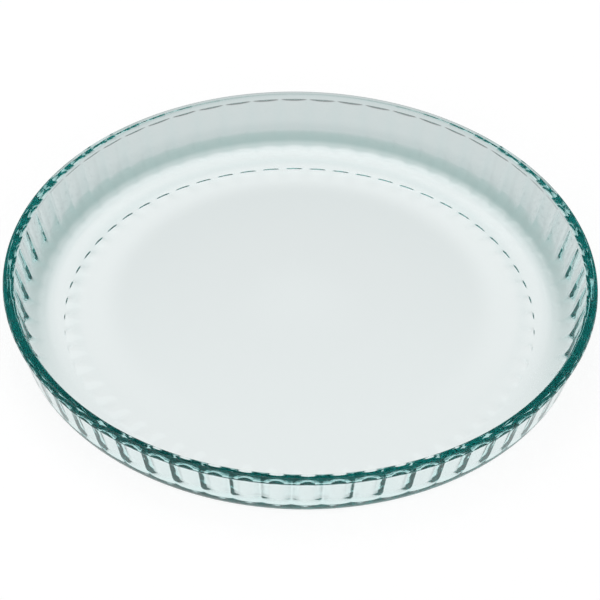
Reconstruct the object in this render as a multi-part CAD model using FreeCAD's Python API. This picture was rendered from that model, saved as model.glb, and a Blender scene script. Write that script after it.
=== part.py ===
import FreeCAD
import Part
import math
import os

# Fluted flan dish, pressed from clear glass in one piece. All sizes are in millimetres.
# Z is the axis of the dish and points up. The origin is the centre of the foot, on the table.
# The middle of one flute is at the front, on the -Y axis.

# Driving dimensions of the pressed body
rim_radius = 140.0
dish_height = 30.0
rim_height = 3.2
rim_width = 5.1
rim_overhang = 1.0
rim_top_bevel = 1.0
rim_under_bevel = 0.6
outside_flare = 18.5
inside_flare = 19.5
foot_round = 6.2
floor_top = 4.6
floor_round = 7.0
recess_radius = 111.0
recess_depth = 0.6
recess_edge_run = 1.2

# Driving dimensions of the flutes on the inside of the wall, which run out above the rounded floor edge
flute_count = 60
flute_half_width = 6.25
flute_depth = 1.25
flute_rim_depth = 0.7
flute_end_height = 13.0
flute_end_run = 3.0
front_angle = -90.0

# The flute tool is the side of a rod towards the wall, this many flute depths thick
tool_shares = 1.5
# Half a turn puts the rod's seam on the side that is not kept
seam_turn = 180.0


def lean(height, flare):
    """How far a flared wall moves inward over a height."""
    return height * math.tan(math.radians(flare))


# Worked-out dimensions
under_rim = dish_height - rim_height
mouth_radius = rim_radius - rim_width
flute_pitch = 360.0 / flute_count
# The wall at the lower end of the flutes, and the rod that cuts their width into its curve
end_radius = mouth_radius - lean(dish_height - flute_end_height, inside_flare)
flat_wall_round = (flute_half_width ** 2 + flute_depth ** 2) / (2 * flute_depth)
flute_round = 1 / (1 / flat_wall_round + 1 / end_radius)
# The flutes stand this many degrees steeper than the wall, so that they are shallower at the rim
wall_length = (dish_height - flute_end_height) / math.cos(math.radians(inside_flare))
flute_steepening = math.degrees(math.atan((flute_depth - flute_rim_depth) / wall_length))
origin = FreeCAD.Vector(0, 0, 0)
up = FreeCAD.Vector(0, 0, 1)
across = FreeCAD.Vector(0, 1, 0)


def corner_arc(before, corner, after, radius):
    """First point, middle and last point of the arc that rounds a corner."""
    to_before = (before - corner).normalize()
    to_after = (after - corner).normalize()
    half_angle = to_before.getAngle(to_after) / 2
    bisector = (to_before + to_after).normalize()
    setback = radius / math.tan(half_angle)
    middle = corner + bisector * (radius / math.sin(half_angle) - radius)
    return corner + to_before * setback, middle, corner + to_after * setback


def rounded_face(corners):
    """Face in the XZ plane from corners, each given as distance from the axis, height and rounding."""
    points = [FreeCAD.Vector(distance, 0, height) for distance, height, rounding in corners]
    arcs = []
    for index, (distance, height, rounding) in enumerate(corners):
        after = points[(index + 1) % len(points)]
        if rounding:
            arcs.append(corner_arc(points[index - 1], points[index], after, rounding))
        else:
            arcs.append((points[index], points[index], points[index]))
    edges = []
    for (first, middle, last), following in zip(arcs, arcs[1:] + arcs[:1]):
        if first != last:
            edges.append(Part.Arc(first, middle, last).toShape())
        edges.append(Part.makeLine(last, following[0]))
    return Part.Face(Part.Wire(edges))


def pressed_body():
    """The dish without its flutes: recessed underside, round foot, flared wall, rim and flat floor."""
    wall_radius = rim_radius - rim_overhang
    corners = [
        (0, recess_depth, 0),
        (recess_radius, recess_depth, 0),
        (recess_radius + recess_edge_run, 0, 0),
        (wall_radius - lean(under_rim, outside_flare), 0, foot_round),
        (wall_radius, under_rim, 0),
        (rim_radius - rim_under_bevel, under_rim, 0),
        (rim_radius, under_rim + rim_under_bevel, 0),
        (rim_radius, dish_height - rim_top_bevel, 0),
        (rim_radius - rim_top_bevel, dish_height, 0),
        (mouth_radius, dish_height, 0),
        (mouth_radius - lean(dish_height - floor_top, inside_flare), floor_top, floor_round),
        (0, floor_top, 0),
    ]
    return rounded_face(corners).revolve(origin, up, 360)


def flute_tool():
    """Side of a rod with a ramp at its lower end, set into the wall and leaning less than it."""
    inner_side = flute_round - tool_shares * flute_depth
    foot = -tool_shares * flute_end_run
    side = rounded_face([
        (inner_side, foot, 0),
        (flute_round, 0, 0),
        (flute_round, dish_height, 0),
        (inner_side, dish_height, 0),
    ])
    side.translate(-flute_round * across)
    rod = Part.makeCylinder(flute_round, dish_height - foot, foot * up)
    rod.rotate(origin, up, seam_turn)
    tool = rod.common(side.extrude(2 * flute_round * across))
    tool.translate(FreeCAD.Vector(flute_depth - flute_round, 0, 0))
    tool.rotate(origin, across, inside_flare - flute_steepening)
    tool.translate(FreeCAD.Vector(end_radius, 0, flute_end_height))
    tool.rotate(origin, up, front_angle)
    return tool


def glass_dish():
    """The pressed body with a ring of flutes cut into the inside of its wall."""
    dish = pressed_body()
    tool = flute_tool()
    for flute in range(flute_count):
        dish = dish.cut(tool)
        tool.rotate(origin, up, flute_pitch)
    return dish.removeSplitter()


dish = glass_dish()
os.makedirs("parts", exist_ok=True)
dish.exportStep("parts/glass_dish.step")
print("solids", len(dish.Solids), "faces", len(dish.Faces), "valid", dish.isValid())
print("volume in cubic centimetres", round(dish.Volume / 1000, 1))
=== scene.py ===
# %% [markdown]
# # A fluted flan dish in pressed clear glass
# The dish is one piece of glass: a flat floor, a flared wall with round flutes on its inside, and a plain
# rim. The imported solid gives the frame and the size. This script gives the dish its looks, step by step.

# %% Load the frame
import bpy
import math
import numpy as np
from mathutils import Matrix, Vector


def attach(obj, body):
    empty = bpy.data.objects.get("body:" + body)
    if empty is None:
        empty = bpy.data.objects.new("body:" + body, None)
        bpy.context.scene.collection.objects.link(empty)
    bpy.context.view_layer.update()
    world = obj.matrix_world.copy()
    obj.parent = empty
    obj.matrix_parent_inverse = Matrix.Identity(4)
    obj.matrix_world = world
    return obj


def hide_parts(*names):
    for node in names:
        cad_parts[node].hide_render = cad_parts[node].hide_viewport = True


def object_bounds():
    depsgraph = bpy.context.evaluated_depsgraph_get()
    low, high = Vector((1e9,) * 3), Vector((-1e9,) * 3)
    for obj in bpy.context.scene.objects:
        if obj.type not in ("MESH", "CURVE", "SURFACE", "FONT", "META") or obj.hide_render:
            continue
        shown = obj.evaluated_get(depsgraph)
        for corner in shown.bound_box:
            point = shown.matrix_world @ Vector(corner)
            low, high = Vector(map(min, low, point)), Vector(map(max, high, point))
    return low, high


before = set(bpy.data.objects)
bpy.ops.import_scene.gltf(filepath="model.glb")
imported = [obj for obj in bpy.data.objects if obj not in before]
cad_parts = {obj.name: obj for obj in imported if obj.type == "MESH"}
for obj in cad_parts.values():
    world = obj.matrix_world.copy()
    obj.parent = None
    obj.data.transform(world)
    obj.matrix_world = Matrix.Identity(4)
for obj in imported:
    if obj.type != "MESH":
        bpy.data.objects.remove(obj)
cad_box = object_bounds()
scene = bpy.context.scene
print("solid from", [round(v, 4) for v in cad_box[0]], "to", [round(v, 4) for v in cad_box[1]])

# %% [markdown]
# ## Sizes
# The overall diameter and height come from the frame. The other sizes are those of the pressed body, in
# metres. Each is written once here, so that a change to one of them carries through the whole surface.

# %% Driving dimensions
mm = 0.001
rim_radius = (cad_box[1][0] - cad_box[0][0]) / 2
dish_height = cad_box[1][2]
rim_height = 3.2 * mm
rim_width = 5.1 * mm
rim_overhang = 1.0 * mm
rim_top_round = 2.2 * mm
mouth_round = 2.2 * mm
rim_under_round = 0.8 * mm
ledge_round = 0.3 * mm
outside_flare = math.radians(16.0)
inside_flare = math.radians(17.0)
foot_round = 11.5 * mm
floor_top = 4.6 * mm
floor_round = 12.0 * mm
recess_radius = 111.0 * mm
recess_depth = 0.6 * mm
recess_edge_run = 1.2 * mm
recess_fade_run = 9.0 * mm

flute_count = 60
flute_share = 0.97
flute_depth = 1.25 * mm
flute_top_slope = 1.0
flute_end_radius = 122.0 * mm
flute_end_slope = 0.3
flute_softness = 0.12 * mm

mouth_radius = rim_radius - rim_width
wall_radius = rim_radius - rim_overhang
under_rim = dish_height - rim_height
print("pitch of the flutes at the mouth", round(2 * math.pi * mouth_radius / flute_count / mm, 2), "mm")

# %% [markdown]
# ## The outline of the glass
# A pressed dish is a body of revolution before its flutes are added. Its cross-section could be drawn as a
# curve and spun with a Screw modifier. Here it is a list of corners, and each round is an arc that touches
# both of its straight sides, because the same points then carry the flutes as well.

# %% Outline helpers
def corner_arc(before, corner, after, radius, steps):
    """Arc of a given radius that touches both sides of a corner, as steps + 1 points.

    The tangent points lie radius / tan(half angle) from the corner. The arc turns evenly from one to the
    other about the centre, which lies radius / sin(half angle) along the bisector."""
    before, corner, after = (np.asarray(p, float) for p in (before, corner, after))
    one = (before - corner) / np.linalg.norm(before - corner)
    two = (after - corner) / np.linalg.norm(after - corner)
    half = math.acos(float(np.clip(one @ two, -1, 1))) / 2
    centre = corner + (one + two) / np.linalg.norm(one + two) * radius / math.sin(half)
    start = corner + one * radius / math.tan(half) - centre
    end = corner + two * radius / math.tan(half) - centre
    turn = math.pi - 2 * half
    t = np.linspace(0, 1, steps + 1)[:, None]
    return centre + (np.sin((1 - t) * turn) * start + np.sin(t * turn) * end) / math.sin(turn)


def straight(start, end, shares):
    """Points at the given shares of the way from start to end."""
    return np.asarray(start) + np.asarray(shares)[:, None] * (np.asarray(end) - np.asarray(start))


def lean(height, flare):
    """How far a flared wall moves inward over a height: height times the tangent of the flare."""
    return height * math.tan(flare)


# %% The outline, from the middle of the floor over the rim to the middle of the underside
floor_corner = (mouth_radius - lean(dish_height - floor_top, inside_flare), floor_top)
mouth_corner = (mouth_radius, dish_height)
top_corner = (rim_radius, dish_height)
under_corner = (rim_radius, under_rim)
ledge_corner = (wall_radius, under_rim)
foot_corner = (wall_radius - lean(under_rim, outside_flare), 0)
ring_corner = (recess_radius + recess_edge_run, 0)
recess_inner = (recess_radius - recess_fade_run, recess_depth)
floor_middle = (0, floor_top)
under_middle = (0, recess_depth)

wide_steps = 12
rim_steps = 6
under_steps = 5
ledge_steps = 3
floor_arc = corner_arc(floor_middle, floor_corner, mouth_corner, floor_round, wide_steps)
mouth_arc = corner_arc(floor_corner, mouth_corner, top_corner, mouth_round, rim_steps)
top_arc = corner_arc(mouth_corner, top_corner, under_corner, rim_top_round, rim_steps)
under_arc = corner_arc(top_corner, under_corner, ledge_corner, rim_under_round, under_steps)
ledge_arc = corner_arc(under_corner, ledge_corner, foot_corner, ledge_round, ledge_steps)
foot_arc = corner_arc(ledge_corner, foot_corner, ring_corner, foot_round, wide_steps)

end_shares = (0.02, 0.98)
floor_shares = (0.15, 0.6, 0.85, 0.95, 0.99)
underside_shares = (0.02, 0.1, 0.6)
wall_shares = np.concatenate([[0.02, 0.1, 0.3, 0.5], np.linspace(0.68, 0.99, 10)])
recess_shares = np.concatenate([np.linspace(0, 0.13, 6), [0.25, 0.4, 0.6, 0.8, 1.0]])
stretches = {
    "floor": straight(floor_middle, floor_arc[0], floor_shares),
    "floor edge": floor_arc,
    "inside wall": straight(floor_arc[-1], mouth_arc[0], wall_shares),
    "mouth": mouth_arc,
    "rim top": straight(mouth_arc[-1], top_arc[0], end_shares),
    "rim outside": np.concatenate([top_arc, under_arc]),
    "ledge": ledge_arc,
    "outside wall": straight(ledge_arc[-1], foot_arc[0], end_shares),
    "foot": foot_arc,
    "foot ring": straight(foot_arc[-1], ring_corner, end_shares),
    "recess edge": straight(ring_corner, recess_inner, recess_shares),
    "underside": straight(recess_inner, under_middle, underside_shares),
}
outline = np.concatenate(list(stretches.values()))
print("outline has", len(outline), "rows in", len(stretches), "stretches")

# %% [markdown]
# ## The flutes
# The flutes are shallow round channels on the inside of the wall, side by side, with a narrow land between
# them. They start in the round of the mouth and run out in the round edge of the floor. They could be cut
# with a Boolean modifier, but a formula gives a clean surface for light to bend in: each row of the outline
# moves square into the glass by the depth of the flute there.

# %% Depth of a flute
def soft_least(*depths):
    """Least of several depths, rounded where they meet: -w log(sum of exp(-depth / w)) for a softness w."""
    return -flute_softness * np.log(sum(np.exp(-depth / flute_softness) for depth in depths))


def flute_cut(across, half_width, from_rim, from_end):
    """Depth of a flute at a distance across from its middle, and along it from the rim and from its end.

    Across, the depth falls as 1 - (across / half width) squared. Along, it is no more than a steep slope from
    the rim and a gentle one from the lower end. The positive part is taken softly, which rounds the lands."""
    bowl = flute_depth * (1 - (across / half_width) ** 2)
    depth = soft_least(bowl, from_rim * flute_top_slope, from_end * flute_end_slope)
    return (depth + np.sqrt(depth ** 2 + flute_softness ** 2)) / 2


def flute_lines():
    """For each row: the direction into the glass, and distances along the outline from the rim and the end.

    The direction is that of the outline, turned a quarter: (dz, -dr). Both distances stop a little past the
    flute, where its depth is next to nothing."""
    along = np.gradient(outline, axis=0)
    along /= np.linalg.norm(along, axis=1)[:, None]
    into_glass = np.stack([along[:, 1], -along[:, 0]], 1)
    steps = np.linalg.norm(np.diff(outline, axis=0), axis=1)
    length = outline[0, 0] + np.concatenate([[0], np.cumsum(steps)])
    wall_top = sum(len(stretches[name]) for name in ("floor", "floor edge", "inside wall"))
    from_rim = np.maximum(length[wall_top] - length, -2 * flute_depth)
    from_end = np.maximum(length - flute_end_radius, -flute_depth)
    return into_glass, from_rim, from_end


print("flutes", flute_count, "at most", round(flute_depth / mm, 2), "mm deep")

# %% [markdown]
# ## The underside
# The dish stands on a flat ring, and the floor within it is lifted a little, so that it can't rock. The
# photo shows the edge of that recess as a row of dashes, one to each flute. A plain step would show as a
# whole line, so here the step is steep in line with each flute and fades out in line with each land.

# %% Lift of the underside
def smooth_rise(t):
    """Rise from 0 to 1 as t goes from 0 to 1, with level ends: 3 t squared - 2 t cubed."""
    t = np.clip(t, 0, 1)
    return t * t * (3 - 2 * t)


def recess_lift(radius, angle):
    """Height of the underside: a steep and a gentle rise from the ring, mixed by the angle.

    The share of the steep rise is (1 + cos(flute count * angle from the front)) / 2."""
    inward = recess_radius + recess_edge_run - radius
    steep = smooth_rise(inward / recess_edge_run)
    gentle = smooth_rise(inward / (recess_edge_run + recess_fade_run))
    mix = (1 + np.cos(flute_count * (angle + math.pi / 2))) / 2
    return recess_depth * (gentle + (steep - gentle) * mix)


print("lift at the middle", recess_lift(0, 0) / mm, "mm")

# %% [markdown]
# ## The surface of the dish
# The outline is carried round the axis. The columns stand closer together at the lands, where the glass
# turns sharply. The first and the last ring are closed with a fan, so the mesh is one closed skin, faces
# outwards.

# %% Build the mesh
columns_per_flute = 18


def dish_surface():
    """Grid of points: row i of the outline turned to angle j, moved into the glass by the flute's depth.

    In a flute, the angle from its middle is half a pitch times sin(90 degrees * t), for t from -1 to 1."""
    pitch = 2 * math.pi / flute_count
    t = np.linspace(-1, 1, columns_per_flute, endpoint=False)
    offset = pitch / 2 * np.sin(math.pi / 2 * t)
    middle = -math.pi / 2 + pitch * np.arange(flute_count)
    angle = (middle[:, None] + offset[None, :]).ravel()
    radius = outline[:, :1]
    into_glass, from_rim, from_end = flute_lines()
    across = np.tile(offset, flute_count) * radius
    cut = flute_cut(across, flute_share * pitch / 2 * radius, from_rim[:, None], from_end[:, None])
    distance = radius + cut * into_glass[:, :1]
    height = outline[:, 1:] + cut * into_glass[:, 1:]
    under = len(stretches["recess edge"]) + len(stretches["underside"])
    height[-under:] = recess_lift(radius[-under:], angle)
    return np.stack([distance * np.cos(angle), distance * np.sin(angle), height], -1)


def closed_grid_mesh(name, grid, first_pole, last_pole):
    """Mesh of a grid that is closed round its columns, with a fan from each end ring to a pole."""
    rows, columns = grid.shape[:2]
    points = np.concatenate([grid.reshape(-1, 3), [first_pole, last_pole]])
    i = np.arange(rows - 1)[:, None] * columns
    j = np.arange(columns)[None, :]
    k = (j + 1) % columns
    quads = np.stack([i + j, i + columns + j, i + columns + k, i + k], -1).reshape(-1, 4)
    pole = np.full(columns, rows * columns)
    last_ring = (rows - 1) * columns
    first = np.stack([pole, j[0], k[0]], -1)
    last = np.stack([pole + 1, last_ring + k[0], last_ring + j[0]], -1)
    mesh = bpy.data.meshes.new(name)
    mesh.from_pydata(points.tolist(), [], quads.tolist() + first.tolist() + last.tolist())
    mesh.polygons.foreach_set("use_smooth", np.ones(len(mesh.polygons), bool))
    mesh.update()
    return mesh


dish_mesh = closed_grid_mesh("glass_dish_surface", dish_surface(), (0, 0, floor_top), (0, 0, recess_depth))
dish = bpy.data.objects.new("glass_dish_surface", dish_mesh)
scene.collection.objects.link(dish)
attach(dish, "root")
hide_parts("glass_dish")
print("dish has", sum(len(face.vertices) - 2 for face in dish_mesh.polygons), "triangles")

# %% [markdown]
# ## The glass
# The real dish is fire-polished soda-lime or borosilicate glass, pressed in a mould. It is clear through
# its thickness and blue-green where light travels along it, as at the rim. A tinted surface would colour it
# evenly, so the tint is a thin absorption in the volume. A very low, wide waviness is what pressing leaves
# in the surface.

# %% Material helpers
def linear(hex_colour):
    """sRGB hex to a linear colour with full alpha, by the sRGB transfer curve."""
    srgb = np.array([int(hex_colour[k:k + 2], 16) for k in (1, 3, 5)]) / 255
    return (*np.where(srgb <= 0.04045, srgb / 12.92, ((srgb + 0.055) / 1.055) ** 2.4).tolist(), 1.0)


def add_node(tree, kind, settings=None, values=None, links=None):
    """Add a node, set its attributes and its sockets' own values, and link its inputs from other sockets."""
    node = tree.nodes.new(kind)
    for name, value in (settings or {}).items():
        setattr(node, name, value)
    for name, value in (values or {}).items():
        node.inputs[name].default_value = value
    for name, source in (links or {}).items():
        tree.links.new(source, node.inputs[name])
    return node


def empty_tree(owner):
    """Node tree of a material or world with all its nodes removed."""
    owner.use_nodes = True
    owner.node_tree.nodes.clear()
    return owner.node_tree


# %% Pressed clear glass
def pressed_clear_glass():
    """Clear polished glass of IOR 1.47 with a blue-green absorption and a faint moulded waviness."""
    material = bpy.data.materials.new("pressed_clear_glass")
    tree = empty_tree(material)
    wave_size = 30 * mm
    wave_height = 0.05 * mm
    coordinates = add_node(tree, "ShaderNodeTexCoord")
    waves = add_node(tree, "ShaderNodeTexNoise", values={"Scale": 1 / wave_size, "Detail": 1.0},
                     links={"Vector": coordinates.outputs["Object"]})
    bump = add_node(tree, "ShaderNodeBump", values={"Strength": 0.15, "Distance": wave_height},
                    links={"Height": waves.outputs["Fac"]})
    surface = add_node(tree, "ShaderNodeBsdfPrincipled",
                       values={"Base Color": linear("#FFFFFF"), "Roughness": 0.0, "IOR": 1.47,
                               "Transmission Weight": 1.0},
                       links={"Normal": bump.outputs["Normal"]})
    tint = add_node(tree, "ShaderNodeVolumeAbsorption",
                    values={"Color": linear("#00DDDB"), "Density": 18.0})
    add_node(tree, "ShaderNodeOutputMaterial",
             links={"Surface": surface.outputs["BSDF"], "Volume": tint.outputs["Volume"]})
    return material


dish_mesh.materials.append(pressed_clear_glass())
print("glass:", [m.name for m in dish_mesh.materials])

# %% [markdown]
# ## The table
# The dish stands on a plain white table. To the camera the table is white, with a faint shadow of the dish.
# Thick glass also throws a soft ring of shade round its foot and gathers light within it. Tracing that
# light would need a great many samples, so the table carries the ring as a colour ramp, which only rays
# through the glass or off it see.

# %% Shades of the table
# Painted light of the table seen only through glass: full at the front, a little darker to the back
table_front = 1.0
table_back = 0.95
table_run = (-200 * mm, 300 * mm)
table_colour = "#F8F8F8"
table_glow = 0.83
# The painted ring of shade lies round a centre this far behind the axis, where light from the front throws it
painted_ring_shift = 11.0 * mm
# Run of Y over which the painted ring comes in, from none in front to full at the back
painted_ring_run = (-90 * mm, 90 * mm)
# Painted shade and painted light of the ring round the foot: distances in millimetres from its centre, and
# the colour there
painted_ring_stops = [(0, table_colour), (40, "#F4F4F4"), (82, "#F2F3F3"), (97, "#FFFFFF"), (103, "#FFFFFF"),
              (107, "#F6F9F9"), (112, "#FFFFFF"), (115, "#FFFFFF"), (118.5, "#F2F5F5"), (122.5, "#CFD9D8"),
              (127, "#AEC0BE"), (130, "#B1C2C0"), (136, "#CBD2D2"), (145, "#D6DBDB"), (159, "#D8DCDC"),
              (195, "#8C8C8C"), (400, "#545454")]
painted_ring_reach = painted_ring_stops[-1][0] * mm


def painted_ring_ramp(tree, distance):
    """Colour ramp of the ring's painted shade and light, over the distance from a point a little behind the
    axis.
    """
    share = add_node(tree, "ShaderNodeMath", {"operation": "DIVIDE"}, values={1: painted_ring_reach},
                     links={0: distance})
    ring = add_node(tree, "ShaderNodeValToRGB", links={"Fac": share.outputs["Value"]})
    elements = ring.color_ramp.elements
    ring.color_ramp.interpolation = "EASE"
    for radius, colour in painted_ring_stops[1:-1]:
        elements.new(radius * mm / painted_ring_reach).color = linear(colour)
    elements[0].color = linear(painted_ring_stops[0][1])
    elements[-1].color = linear(painted_ring_stops[-1][1])
    return ring.outputs["Color"]


def table_through_glass(tree):
    """Painted light of the table behind glass: it falls evenly to the back, where the painted ring of shade
    comes in.
    """
    place = add_node(tree, "ShaderNodeTexCoord")
    axes = add_node(tree, "ShaderNodeSeparateXYZ", links={"Vector": place.outputs["Object"]})
    level = add_node(tree, "ShaderNodeMapRange",
                     values={"From Min": table_run[0], "From Max": table_run[1],
                             "To Min": table_front, "To Max": table_back},
                     links={"Value": axes.outputs["Y"]})
    shifted = add_node(tree, "ShaderNodeVectorMath", {"operation": "SUBTRACT"},
                       values={1: (0, painted_ring_shift, 0)}, links={0: place.outputs["Object"]})
    distance = add_node(tree, "ShaderNodeVectorMath", {"operation": "LENGTH"},
                        links={0: shifted.outputs["Vector"]})
    # Mask of the painted ring of shade: none in front, full at the back
    behind = add_node(tree, "ShaderNodeMapRange", {"interpolation_type": "SMOOTHSTEP"},
                      values={"From Min": painted_ring_run[0], "From Max": painted_ring_run[1]},
                      links={"Value": axes.outputs["Y"]})
    # Inputs 6 and 7 and output 2 of this node are its colours
    shade = add_node(tree, "ShaderNodeMix", {"data_type": "RGBA"}, values={6: linear(table_colour)},
                     links={0: behind.outputs["Result"], 7: painted_ring_ramp(tree, distance.outputs["Value"])})
    return add_node(tree, "ShaderNodeEmission",
                    links={"Color": shade.outputs[2], "Strength": level.outputs["Result"]})


print("table from", table_front, "at the front to", table_back, "at the back")

# %% Table
def white_table():
    """White table: plain with a faint real shadow to the camera, painted shade and light through glass, matt
    to other light.
    """
    material = bpy.data.materials.new("white_table")
    tree = empty_tree(material)
    path = add_node(tree, "ShaderNodeLightPath")
    matt = add_node(tree, "ShaderNodeBsdfDiffuse", values={"Color": linear("#E9E9E9")})
    faint = add_node(tree, "ShaderNodeBsdfDiffuse", values={"Color": linear("#A0A0A0")})
    plain = add_node(tree, "ShaderNodeEmission", values={"Color": linear("#FFFFFF"), "Strength": table_glow})
    white = add_node(tree, "ShaderNodeAddShader",
                     links={0: faint.outputs["BSDF"], 1: plain.outputs["Emission"]})
    through = table_through_glass(tree)
    bent = add_node(tree, "ShaderNodeMath", {"operation": "MAXIMUM"},
                    links={0: path.outputs["Is Transmission Ray"], 1: path.outputs["Is Glossy Ray"]})
    lit = add_node(tree, "ShaderNodeMixShader",
                   links={0: bent.outputs["Value"], 1: matt.outputs["BSDF"], 2: through.outputs["Emission"]})
    shown = add_node(tree, "ShaderNodeMixShader",
                     links={0: path.outputs["Is Camera Ray"], 1: lit.outputs["Shader"],
                            2: white.outputs["Shader"]})
    add_node(tree, "ShaderNodeOutputMaterial", links={"Surface": shown.outputs["Shader"]})
    return material


table_half = 6.0
table_gap = 0.2 * mm
corners = np.array([(-1, -1), (1, -1), (1, 1), (-1, 1)]) * table_half
table_mesh = bpy.data.meshes.new("table")
table_mesh.from_pydata([(x, y, -table_gap) for x, y in corners], [], [(0, 1, 2, 3)])
table_mesh.materials.append(white_table())
table = bpy.data.objects.new("table", table_mesh)
scene.collection.objects.link(table)
print("table", 2 * table_half, "m across")

# %% [markdown]
# ## The light
# Clear glass shows its surroundings more than itself. The bright side of the studio is in front, behind the
# camera, and the far side is dim, which draws the flutes as dark lines. A lit room could be modelled, but a
# world that falls evenly from front to back gives the same lines without sharp reflections.

# %% Light
front_light = 1.0
back_light = 0.1
light_run = (-0.6, 0.5)


def studio_world():
    """Soft surroundings: bright in front, falling evenly to dim at the back; plain white to the camera."""
    world = bpy.data.worlds.new("studio")
    tree = empty_tree(world)
    path = add_node(tree, "ShaderNodeLightPath")
    direction = add_node(tree, "ShaderNodeTexCoord")
    axes = add_node(tree, "ShaderNodeSeparateXYZ", links={"Vector": direction.outputs["Generated"]})
    depth = add_node(tree, "ShaderNodeMapRange",
                     values={"From Min": light_run[0], "From Max": light_run[1],
                             "To Min": front_light, "To Max": back_light},
                     links={"Value": axes.outputs["Y"]})
    soft = add_node(tree, "ShaderNodeBackground", links={"Strength": depth.outputs["Result"]})
    plain = add_node(tree, "ShaderNodeBackground", values={"Color": linear("#FFFFFF"), "Strength": 1.0})
    shown = add_node(tree, "ShaderNodeMixShader",
                     links={0: path.outputs["Is Camera Ray"], 1: soft.outputs["Background"],
                            2: plain.outputs["Background"]})
    add_node(tree, "ShaderNodeOutputWorld", links={"Surface": shown.outputs["Shader"]})
    return world


scene.world = studio_world()
lamp = bpy.data.lights.new("soft_lamp", "AREA")
lamp.energy = 3.0
lamp.size = 1.2
lamp_object = bpy.data.objects.new("soft_lamp", lamp)
lamp_object.location = (-0.4, 0.5, 1.6)
lamp_object.rotation_euler = (-lamp_object.location).to_track_quat("-Z", "Y").to_euler()
scene.collection.objects.link(lamp_object)
scene.view_settings.view_transform = "Standard"
glass_bounces = 80
scene.cycles.max_bounces = glass_bounces
scene.cycles.transmission_bounces = glass_bounces
scene.cycles.glossy_bounces = glass_bounces
print("world front", front_light, "back", back_light)

# %% [markdown]
# ## The camera
# A long lens from well above the table, as a catalogue photograph is taken, keeps the rim's ellipse almost
# even. The picture is taken slightly off level, and the camera stands part of a flute to one side of the
# flute in front.

# %% Camera
elevation = math.radians(41.38)
roll = math.radians(1.44)
flutes_from_middle = 0.39
azimuth = -2 * math.pi / flute_count * flutes_from_middle
distance_share = 12.0
aim_share = 0.132
aim_below_rim = 0.37 * mm
camera_distance = distance_share * rim_radius
target = np.array([0, -aim_share * rim_radius, dish_height - aim_below_rim])
frame_pixels = 600
focal_pixels = 3599

turned = np.array([[math.cos(azimuth), -math.sin(azimuth), 0],
                   [math.sin(azimuth), math.cos(azimuth), 0],
                   [0, 0, 1]])
back = turned @ np.array([0, -math.cos(elevation), math.sin(elevation)])
right = turned @ np.array([1.0, 0, 0])
up = np.cross(back, right)
rolled_right = math.cos(roll) * right + math.sin(roll) * up
rolled_up = -math.sin(roll) * right + math.cos(roll) * up
place = turned @ target + camera_distance * back

camera = bpy.data.cameras.new("camera")
camera.lens = camera.sensor_width * focal_pixels / frame_pixels
camera.clip_end = 50
camera_object = bpy.data.objects.new("camera", camera)
axes = Matrix(np.stack([rolled_right, rolled_up, back], 1)).to_4x4()
camera_object.matrix_world = Matrix.Translation(place) @ axes
scene.collection.objects.link(camera_object)
scene.camera = camera_object
print("lens", round(camera.lens, 1), "mm at", round(camera_distance, 2), "m")
